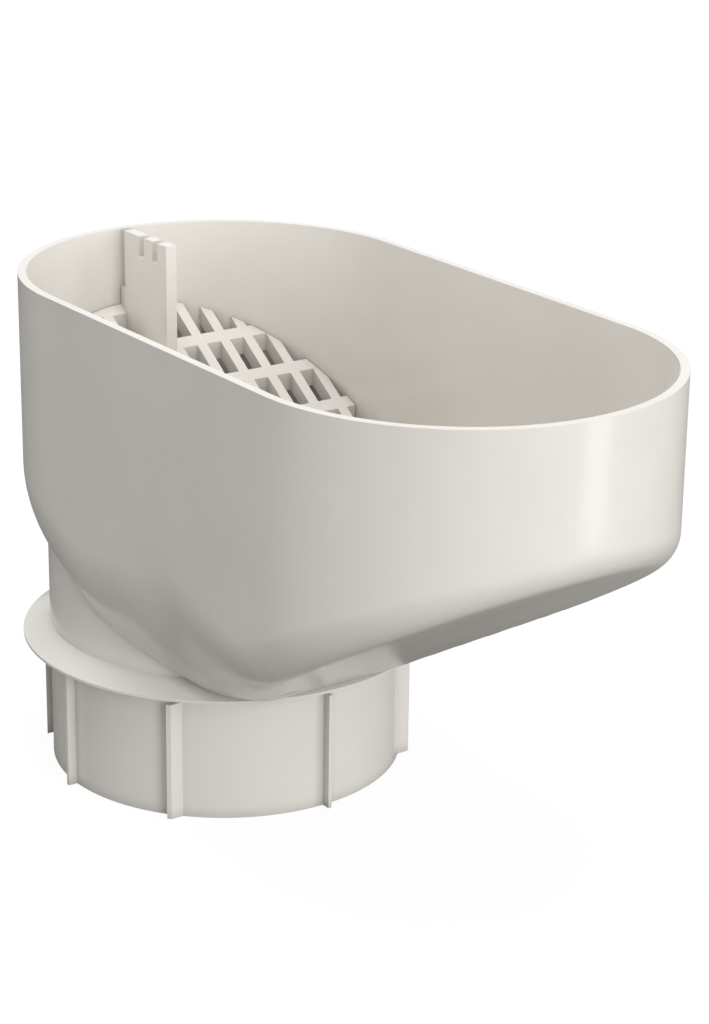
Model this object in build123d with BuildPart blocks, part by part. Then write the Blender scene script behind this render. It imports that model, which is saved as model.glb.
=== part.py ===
from build123d import *

import os
from math import radians, sqrt, tan

# Gutter leaf trap: a stadium-mouthed hopper with a drain outlet, and a lift-out sieve.
# Millimetres, +Z up. The origin is on the outlet's axis, in the plane of the collar's
# bottom edge. +X runs along the mouth, from the outlet towards the nose.

os.makedirs("parts", exist_ok=True)

# Mouth and walls
mouth_radius = 55.0          # outside of both round ends
mouth_centres = 102.0        # outlet axis to the centre of the nose's round end
rim_height = 138.5
wall = 2.3

# Bowl over the outlet: its floor falls towards the nose
bowl_floor = 46.0            # outside of the floor on the outlet axis
bowl_fall = 27.0             # degrees
bowl_corner = 31.0           # outside corner radius between floor and wall
bowl_reach = 5.5             # outlet axis to where the bowl hands over to the belly

# Nose: its floor climbs to the mouth's far end
nose_floor = 66.9            # outside of the floor under the nose's centre
nose_climb = 31.8            # degrees
nose_corner = 11.0
nose_lead = 2.0              # the round nose takes over this far before its centre

# Belly: the rounded low stretch between bowl and nose
climb_reach = 52.0           # outlet axis to where the floor starts its straight climb
belly_corner = 44.6          # the widest corner radius,
belly_reach = 40.0           # and how far it is from the outlet axis
belly_spans = 15             # short ruled stretches that make up the belly

# Ribs that centre the collar in a drain pipe
pipe_bore = 103.6            # 110 mm drain pipe with a 3.2 mm wall
rib_clearance = 0.3
rib_reach = 2.6              # how far the ribs' tips stand out of the collar
rib_thickness = 1.0
rib_top = 33.1
rib_side_offset = 33.2       # the side ribs stand parallel to Y, this far from the axis

# Outlet tube, collar and skirt
rib_tip_radius = pipe_bore / 2 - rib_clearance
outlet_radius = rib_tip_radius - rib_reach
skirt_reach = 7.4            # how far the skirt stands out of the tube
skirt_edge = 36.4            # underside of the skirt's edge
skirt_edge_thickness = 0.7
skirt_root = 40.4            # top of the skirt where it leaves the tube
skirt_root_thickness = 2.0

# Sieve
sieve_clearance = 0.3
sieve_tilt = 34.4            # degrees, falling towards the nose
sieve_height = 80.8          # top of the lattice on the outlet axis
bar_width = 3.1
bar_depth = 5.0
bar_pitch_long = 12.72       # spacing of the bars that run across the hopper
bar_pitch_cross = 7.77       # spacing of the bars that run down the slope

# Pull tab
tab_thickness = 3.3
tab_width = 22.4
tab_gap = 2.8                # from the hopper's wall to the tab's upper part
tab_foot_top = 122.0         # below this the tab reaches the wall
slot_depth = 5.8
slot_width = 3.1
slot_first = 7.7             # from the tab's wall-side edge to its first slot
slot_pitch = 7.0
slot_count = 2

overrun = 1.0                # how far a cutting body runs past what it cuts


def end_block(inset, top, seat, slope, corner, handover, kept):
    """One end of the hopper's outer form, with every face moved in by inset."""
    rise = tan(radians(slope))
    seat_x, seat_z = seat
    lifted = Vector(seat_x, 0, seat_z + inset * sqrt(1 + rise**2))
    with BuildPart() as block:
        with BuildSketch(Plane.XY.offset(top)):
            with Locations((mouth_centres / 2, 0)):
                SlotCenterToCenter(mouth_centres, 2 * (mouth_radius - inset))
        extrude(amount=-2 * top)
        split(bisect_by=Plane(lifted, z_dir=(-rise, 0, 1)), keep=Keep.TOP)
        sloping = block.faces().filter_by(GeomType.PLANE).sort_by(lambda face: face.normal_at().Z)[0]
        fillet(sloping.edges(), corner - inset)
        split(bisect_by=Plane((handover, 0, 0), z_dir=(1, 0, 0)), keep=kept)
    return block.part


def belly_section(inset, top, point, tangent):
    """The belly's section through one point of its floor: a U with elliptical corners."""
    stretch = sqrt(1 + (tangent.Z / tangent.X) ** 2)
    half_width = mouth_radius - inset
    corner = corner_at(point.X) - inset
    floor = point.Z + inset * stretch
    rise = corner * stretch
    with BuildSketch(Plane.YZ.offset(point.X)) as section:
        with BuildLine():
            Polyline((-half_width, floor + rise), (-half_width, top), (half_width, top), (half_width, floor + rise))
            EllipticalCenterArc((half_width - corner, floor + rise), corner, rise, start_angle=270)
            Line((half_width - corner, floor), (corner - half_width, floor))
            EllipticalCenterArc((corner - half_width, floor + rise), corner, rise, start_angle=180)
        make_face()
    return section.sketch.face()


def corner_at(x):
    """Corner radius along the belly: it swells from the bowl's and sinks to the nose's."""
    if x < belly_reach:
        near, far, along = bowl_corner, belly_corner, (x - bowl_reach) / (belly_reach - bowl_reach)
    else:
        near, far, along = belly_corner, nose_corner, (x - belly_reach) / (nose_reach - belly_reach)
    return near + (far - near) * along**2 * (3 - 2 * along)


def hopper_form(inset, top):
    """The hopper's outer form, or its cavity when inset is the wall."""
    bowl_seat = (0, bowl_floor)
    nose_seat = (mouth_centres, nose_floor)
    bowl = end_block(inset, top, bowl_seat, -bowl_fall, bowl_corner, bowl_reach, Keep.BOTTOM)
    nose = end_block(inset, top, nose_seat, nose_climb, nose_corner, nose_reach, Keep.TOP)
    fall = -tan(radians(bowl_fall))
    climb = tan(radians(nose_climb))
    with BuildLine(Plane.XZ) as belly_floor:
        low = Spline(
            (bowl_reach, bowl_floor + fall * bowl_reach),
            (climb_reach, nose_floor + climb * (climb_reach - mouth_centres)),
            tangents=((1, fall), (1, climb)),
        )
        Line(low @ 1, (nose_reach, nose_floor - climb * nose_lead))
    path = belly_floor.wires()[0]
    stations = [span / belly_spans for span in range(1, belly_spans)]
    sections = [belly_section(inset, top, path @ station, path % station) for station in stations]
    bowl_mouth = bowl.faces().filter_by(Axis.X).sort_by(Axis.X)[-1]
    nose_mouth = nose.faces().filter_by(Axis.X).sort_by(Axis.X)[0]
    with BuildPart() as form:
        add(bowl)
        add(nose)
        loft([bowl_mouth, *sections, nose_mouth], ruled=True)
    return form.part


nose_reach = mouth_centres - nose_lead

skirt_radius = outlet_radius + skirt_reach
inside_outlet = outlet_radius - wall
with BuildPart() as hopper:
    add(hopper_form(0, rim_height))
    with BuildSketch():
        Circle(outlet_radius)
    extrude(amount=bowl_floor + bowl_corner)
    with BuildSketch(Plane.XZ):
        with BuildLine():
            Polyline(
                (inside_outlet, skirt_root),
                (outlet_radius, skirt_root),
                (skirt_radius, skirt_edge + skirt_edge_thickness),
                (skirt_radius, skirt_edge),
                (outlet_radius, skirt_root - skirt_root_thickness),
                (inside_outlet, skirt_root - skirt_root_thickness),
                close=True,
            )
        make_face()
    revolve(axis=Axis.Z)
    with BuildSketch():
        with GridLocations(rib_side_offset, 0, 3, 1):
            Rectangle(rib_thickness, 2 * rib_tip_radius)
        Rectangle(2 * rib_tip_radius, rib_thickness)
        Circle(rib_tip_radius, mode=Mode.INTERSECT)
        Circle(inside_outlet, mode=Mode.SUBTRACT)
    extrude(amount=rib_top)
    add(hopper_form(wall, rim_height + overrun), mode=Mode.SUBTRACT)
    with BuildSketch():
        Circle(inside_outlet)
    extrude(amount=bowl_floor + bowl_corner, mode=Mode.SUBTRACT)
hopper.part.label = "hopper"
export_step(hopper.part, "parts/hopper.step")

sieve_room = wall + sieve_clearance
sieve_radius = mouth_radius - sieve_room
sieve_drop = tan(radians(sieve_tilt))
long_bars = 2 * int((mouth_centres + mouth_radius) / bar_pitch_long) + 1
cross_bars = 2 * int(sieve_radius / bar_pitch_cross) + 1


def lattice_top(x):
    """Height of the lattice's upper face at x."""
    return sieve_height - x * sieve_drop


with BuildPart() as sieve:
    with BuildSketch():
        with GridLocations(bar_pitch_long, 0, long_bars, 1):
            Rectangle(bar_width, 2 * sieve_radius)
        with GridLocations(0, bar_pitch_cross, 1, cross_bars):
            Rectangle(2 * (mouth_centres + mouth_radius), bar_width)
    extrude(amount=rim_height)
    slope = (-sieve_drop, 0, -1)
    split(bisect_by=Plane((0, 0, lattice_top(0)), z_dir=slope), keep=Keep.TOP)
    split(bisect_by=Plane((0, 0, lattice_top(0) - bar_depth), z_dir=slope), keep=Keep.BOTTOM)
    tab_left = -(mouth_radius - wall) + tab_gap
    tab_right = tab_left + tab_width
    with BuildSketch(Plane.XZ):
        with BuildLine():
            Polyline(
                (tab_left, rim_height),
                (tab_right, rim_height),
                (tab_right, lattice_top(tab_right) - bar_depth),
                (-mouth_radius, lattice_top(-mouth_radius) - bar_depth),
                (-mouth_radius, tab_foot_top),
                (tab_left, tab_foot_top),
                close=True,
            )
        make_face()
        for slot in range(slot_count):
            slot_left = tab_left + slot_first + slot * slot_pitch
            with Locations((slot_left, rim_height)):
                Rectangle(slot_width, slot_depth, align=(Align.MIN, Align.MAX), mode=Mode.SUBTRACT)
    extrude(amount=tab_thickness / 2, both=True)
    add(hopper_form(sieve_room, rim_height), mode=Mode.INTERSECT)
sieve.part.label = "sieve"
export_step(sieve.part, "parts/sieve.step")
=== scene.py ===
from math import cos, prod, radians, sin

import bmesh
import bpy
from mathutils import Matrix, Vector


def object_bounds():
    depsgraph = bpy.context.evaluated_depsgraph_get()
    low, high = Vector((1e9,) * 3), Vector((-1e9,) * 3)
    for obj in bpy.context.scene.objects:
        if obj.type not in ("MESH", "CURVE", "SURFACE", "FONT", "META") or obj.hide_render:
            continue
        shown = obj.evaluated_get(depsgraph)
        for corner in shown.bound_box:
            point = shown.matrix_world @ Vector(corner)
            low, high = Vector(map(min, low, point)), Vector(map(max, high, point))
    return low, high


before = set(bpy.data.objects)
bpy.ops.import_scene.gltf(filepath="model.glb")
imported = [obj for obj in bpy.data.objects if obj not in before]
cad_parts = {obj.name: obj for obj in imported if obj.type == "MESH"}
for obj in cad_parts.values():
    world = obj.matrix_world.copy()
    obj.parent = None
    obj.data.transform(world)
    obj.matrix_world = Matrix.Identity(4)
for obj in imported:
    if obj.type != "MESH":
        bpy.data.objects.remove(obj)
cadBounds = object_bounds()
print("frame loaded")

mm = 0.001


def linearColour(hexCode):
    # The sRGB curve: straight near black, a power above it
    channels = [int(hexCode[i:i + 2], 16) / 255 for i in (1, 3, 5)]
    linear = [c / 12.92 if c <= 0.04045 else ((c + 0.055) / 1.055) ** 2.4 for c in channels]
    return linear + [1.0]


def addNode(tree, kind, settings=None, inputs=None, links=None):
    node = tree.nodes.new(kind)
    for name, value in (settings or {}).items():
        setattr(node, name, value)
    for socket, value in (inputs or {}).items():
        node.inputs[socket].default_value = value
    for socket, source in (links or {}).items():
        tree.links.new(source, node.inputs[socket])
    return node


def newMaterial(name):
    material = bpy.data.materials.new(name)
    material.use_nodes = True
    material.node_tree.nodes.clear()
    return material, material.node_tree


# Rigid PVC, injection moulded: a warm off-white with a soft satin gloss, very slightly wavy
# where the wall sank on cooling, with a fine spark-eroded grain, and painted shade in its corners
rigidPvc = {
    "body": "#EAE6E0",
    "shade": "#E4E0D9",
    "ior": 1.53,
    "roughness": (0.19, 0.25),
    "cloud": 60 * mm,           # size of the faint patches in tone and gloss
    "cloudDetail": 4.0,
    "cloudRoughness": 0.55,
    "toneSpan": (0.30, 0.62),   # cloud values from which the tone is all shade and all body
    "glossSpan": (0.3, 0.7),    # cloud values over which the roughness runs up
    "sink": 22 * mm,            # waviness of the cooled wall
    "sinkDetail": 1.0,
    "sinkDepth": 0.05 * mm,
    "grain": 0.9 * mm,          # spark-eroded texture, drawn coarse enough to show
    "grainDetail": 2.0,
    "grainDepth": 0.006 * mm,
    "corner": 3.5 * mm,         # reach of the painted shade that darkens slots, cells and inner corners
    "cornerSamples": 12,
    "paintedShadeDeepest": 0.58,            # share of the colour left under the painted shade where a corner is closed in
}
sievePvc = dict(rigidPvc, body="#EBE7E1", shade="#E5E1DA", grain=0.7 * mm)


def rigidPvcMaterial(name, look):
    material, tree = newMaterial(name)
    coord = addNode(tree, "ShaderNodeTexCoord")
    place = coord.outputs["Object"]

    cloud = addNode(tree, "ShaderNodeTexNoise",
                    inputs={"Scale": 1 / look["cloud"], "Detail": look["cloudDetail"],
                            "Roughness": look["cloudRoughness"]},
                    links={"Vector": place})
    tint = addNode(tree, "ShaderNodeValToRGB", links={"Fac": cloud.outputs["Fac"]})
    for stop, position, tone in zip(tint.color_ramp.elements, look["toneSpan"], ("shade", "body")):
        stop.position = position
        stop.color = linearColour(look[tone])
    gloss = addNode(tree, "ShaderNodeMapRange",
                    inputs={"From Min": look["glossSpan"][0], "From Max": look["glossSpan"][1],
                            "To Min": look["roughness"][0], "To Max": look["roughness"][1]},
                    links={"Value": cloud.outputs["Fac"]})

    # Painted shade: an ambient occlusion node darkens the colour in slots, lattice cells and inner
    # corners
    corner = addNode(tree, "ShaderNodeAmbientOcclusion",
                     settings={"samples": look["cornerSamples"]},
                     inputs={"Distance": look["corner"]})
    paintedShadeDepth = addNode(tree, "ShaderNodeMapRange", inputs={"To Min": look["paintedShadeDeepest"]},
                    links={"Value": corner.outputs["AO"]})
    toneWithPaintedShade = addNode(tree, "ShaderNodeVectorMath", settings={"operation": "SCALE"},
                    links={0: tint.outputs["Color"], "Scale": paintedShadeDepth.outputs["Result"]})

    sink = addNode(tree, "ShaderNodeTexNoise",
                   inputs={"Scale": 1 / look["sink"], "Detail": look["sinkDetail"]},
                   links={"Vector": place})
    wavy = addNode(tree, "ShaderNodeBump",
                   inputs={"Strength": 1.0, "Distance": look["sinkDepth"]},
                   links={"Height": sink.outputs["Fac"]})
    grain = addNode(tree, "ShaderNodeTexNoise",
                    inputs={"Scale": 1 / look["grain"], "Detail": look["grainDetail"]},
                    links={"Vector": place})
    surface = addNode(tree, "ShaderNodeBump",
                      inputs={"Strength": 1.0, "Distance": look["grainDepth"]},
                      links={"Height": grain.outputs["Fac"], "Normal": wavy.outputs["Normal"]})

    shader = addNode(tree, "ShaderNodeBsdfPrincipled", inputs={"IOR": look["ior"]},
                     links={"Base Color": toneWithPaintedShade.outputs["Vector"],
                            "Roughness": gloss.outputs["Result"],
                            "Normal": surface.outputs["Normal"]})
    addNode(tree, "ShaderNodeOutputMaterial", links={"Surface": shader.outputs["BSDF"]})
    return material


# Moulded surfaces run smooth up to their edges: facets are joined, and shaded as one
moulding = {
    "weld": 0.002 * mm,         # points closer than this are one
    "crease": 32.0,             # degrees between faces from which an edge stays sharp
}


def joinFacets(node, look):
    weld = node.modifiers.new("weld", "WELD")
    weld.merge_threshold = look["weld"]


def smoothFaces(node, look):
    crease = node.modifiers.new("crease", "EDGE_SPLIT")
    crease.split_angle = radians(look["crease"])
    even = node.modifiers.new("even", "WEIGHTED_NORMAL")
    even.mode = "CORNER_ANGLE"


# The hopper's belly outside the outlet tube, where short straight stretches are eased into a curve
belly = {
    "tube": 48.9 * mm,          # skin nearer to the outlet's axis is left alone,
    "low": 40 * mm,             # and so is skin below this height,
    "high": 82 * mm,            # above this one,
    "start": -12 * mm,          # or outside this stretch of the hopper's length
    "end": 96 * mm,
    "clear": 5 * mm,            # the easing comes in over this distance from each limit
    "cuts": 1,                  # how often each facet is divided before the easing
    "pull": 0.5,                # share of the way to its neighbours that a pass moves a point
    "passes": 16,
}


def fade(inside, clear):
    return min(max(inside / clear, 0.0), 1.0)


def easeBelly(node, look):
    group = node.vertex_groups.new(name="belly")
    for vertex in node.data.vertices:
        place = node.matrix_world @ vertex.co
        insides = (place.xy.length - look["tube"],
                   place.z - look["low"], look["high"] - place.z,
                   place.x - look["start"], look["end"] - place.x)
        weight = prod(fade(inside, look["clear"]) for inside in insides)
        if weight > 0:
            group.add([vertex.index], weight, "REPLACE")
    finer = node.modifiers.new("finer", "SUBSURF")
    finer.subdivision_type = "SIMPLE"
    finer.levels = finer.render_levels = look["cuts"]
    ease = node.modifiers.new("ease", "SMOOTH")
    ease.vertex_group = group.name
    ease.factor = look["pull"]
    ease.iterations = look["passes"]


for nodeName, look in (("hopper", rigidPvc), ("sieve", sievePvc)):
    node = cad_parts[nodeName]
    material = rigidPvcMaterial(nodeName + "RigidPvc", look)
    for slot in node.material_slots:
        slot.material = material
    joinFacets(node, moulding)
    if nodeName == "hopper":
        easeBelly(node, belly)
    smoothFaces(node, moulding)
print("materials set")

# Floor: a plain white sweep, shown white to the camera with the object's soft shadow kept.
# Glossy rays see its plain grey, because white from below would wash out the plastic's underside.
floorLook = {
    "side": 6.0,                # metres
    "drop": 0.02 * mm,          # how far it lies below the collar, so that no faces coincide
    "seen": "#EEEEEC",
    "glow": 0.85,               # share of the floor seen that is plain light, which softens shadows
    "strength": 1.06,
    "bounce": "#7A7976",        # the grey that lights the underside
}


def anyRay(tree, kinds):
    path = addNode(tree, "ShaderNodeLightPath")
    found = path.outputs[kinds[0]]
    for kind in kinds[1:]:
        either = addNode(tree, "ShaderNodeMath", settings={"operation": "MAXIMUM"},
                         links={0: found, 1: path.outputs[kind]})
        found = either.outputs["Value"]
    return found


def makeFloor(look):
    shape = bmesh.new()
    bmesh.ops.create_grid(shape, x_segments=1, y_segments=1, size=look["side"] / 2)
    mesh = bpy.data.meshes.new("floor")
    shape.to_mesh(mesh)
    shape.free()
    floor = bpy.data.objects.new("floor", mesh)
    bpy.context.scene.collection.objects.link(floor)
    floor.location.z = cadBounds[0][2] - look["drop"]
    material, tree = newMaterial("whiteSweep")
    plain = addNode(tree, "ShaderNodeBsdfDiffuse", inputs={"Color": linearColour(look["seen"])})
    white = addNode(tree, "ShaderNodeEmission", inputs={"Strength": look["strength"]})
    lit = addNode(tree, "ShaderNodeMixShader", inputs={0: look["glow"]},
                  links={1: plain.outputs["BSDF"], 2: white.outputs["Emission"]})
    grey = addNode(tree, "ShaderNodeBsdfDiffuse", inputs={"Color": linearColour(look["bounce"])})
    both = addNode(tree, "ShaderNodeMixShader",
                   links={0: anyRay(tree, ("Is Camera Ray", "Is Transmission Ray")),
                          1: grey.outputs["BSDF"],
                          2: lit.outputs["Shader"]})
    addNode(tree, "ShaderNodeOutputMaterial", links={"Surface": both.outputs["Shader"]})
    mesh.materials.append(material)


makeFloor(floorLook)

# Room light: an even grey from all round, and plain white where the camera looks past the floor
roomLook = {"colour": "#F2F3F4", "strength": 0.83, "seen": "#FFFFFF"}


def makeRoom(look):
    world = bpy.data.worlds.new("studioRoom")
    bpy.context.scene.world = world
    world.use_nodes = True
    tree = world.node_tree
    tree.nodes.clear()
    fill = addNode(tree, "ShaderNodeBackground",
                   inputs={"Color": linearColour(look["colour"]), "Strength": look["strength"]})
    white = addNode(tree, "ShaderNodeBackground",
                    inputs={"Color": linearColour(look["seen"]), "Strength": 1.0})
    seen = anyRay(tree, ("Is Camera Ray", "Is Glossy Ray", "Is Transmission Ray"))
    both = addNode(tree, "ShaderNodeMixShader",
                   links={"Fac": seen,
                          1: fill.outputs["Background"],
                          2: white.outputs["Background"]})
    addNode(tree, "ShaderNodeOutputWorld", links={"Surface": both.outputs["Shader"]})


makeRoom(roomLook)

# Lamps, in metres and watts: azimuth is the side the lamp stands on, from +X towards +Y
lamps = {
    "key": {"azimuth": -2, "elevation": 8, "distance": 1.5, "size": (0.6, 0.4), "power": 8.8},
    "strip": {"azimuth": 38, "elevation": 12, "distance": 1.5, "size": (0.3, 0.74), "power": 2.6},
    "glint": {"azimuth": 24.7, "elevation": -6.6, "distance": 0.35, "size": (0.07, 0.08),
              "power": 0.044},  # mirrored as the bright band on the nose's wall
    "top": {"azimuth": -60, "elevation": 82, "distance": 1.6, "size": (1.0, 1.0), "power": 9.0},
}
lampTarget = Vector((45, 0, 75)) * mm  # the middle of the hopper


def makeLamp(name, look):
    data = bpy.data.lights.new(name, "AREA")
    data.shape = "RECTANGLE"
    data.size, data.size_y = look["size"]
    data.energy = look["power"]
    lamp = bpy.data.objects.new(name, data)
    bpy.context.scene.collection.objects.link(lamp)
    azimuth, elevation = radians(look["azimuth"]), radians(look["elevation"])
    away = Vector((cos(azimuth) * cos(elevation), sin(azimuth) * cos(elevation), sin(elevation)))
    lamp.visible_camera = False
    lamp.location = lampTarget + away * look["distance"]
    lamp.rotation_euler = away.to_track_quat("Z", "Y").to_euler()


for lampName, lampLook in lamps.items():
    makeLamp(lampName + "Lamp", lampLook)
print("light set")

# Camera solved from the photograph's rims, skirt, collar and rib tips
cameraLook = {
    "azimuth": 54.526,          # degrees from -Y towards +X
    "elevation": 19.731,
    "roll": 0.782,
    "distance": 726.06 * mm,
    "across": 35.398 * mm,      # middle of the picture, right of the outlet's axis,
    "height": 69.723 * mm,      # and above the collar's edge
    "lens": 92.678,
    "sensor": 36.0,
    "clip": 10 * mm,
}


def makeCamera(look):
    azimuth, elevation, roll = (radians(look[name]) for name in ("azimuth", "elevation", "roll"))
    right = Vector((cos(azimuth), sin(azimuth), 0))
    back = Vector((sin(azimuth) * cos(elevation), -cos(azimuth) * cos(elevation), sin(elevation)))
    up = back.cross(right)
    rolledRight = right * cos(roll) + up * sin(roll)
    rolledUp = up * cos(roll) - right * sin(roll)
    data = bpy.data.cameras.new("camera")
    data.lens = look["lens"]
    data.sensor_width = look["sensor"]
    data.clip_start = look["clip"]
    camera = bpy.data.objects.new("camera", data)
    bpy.context.scene.collection.objects.link(camera)
    turn = Matrix((rolledRight, rolledUp, back)).transposed().to_4x4()
    aim = right * look["across"] + Vector((0, 0, look["height"]))
    camera.matrix_world = Matrix.Translation(aim + back * look["distance"]) @ turn
    bpy.context.scene.camera = camera


makeCamera(cameraLook)
bpy.context.scene.view_settings.view_transform = "Standard"
print("camera set")
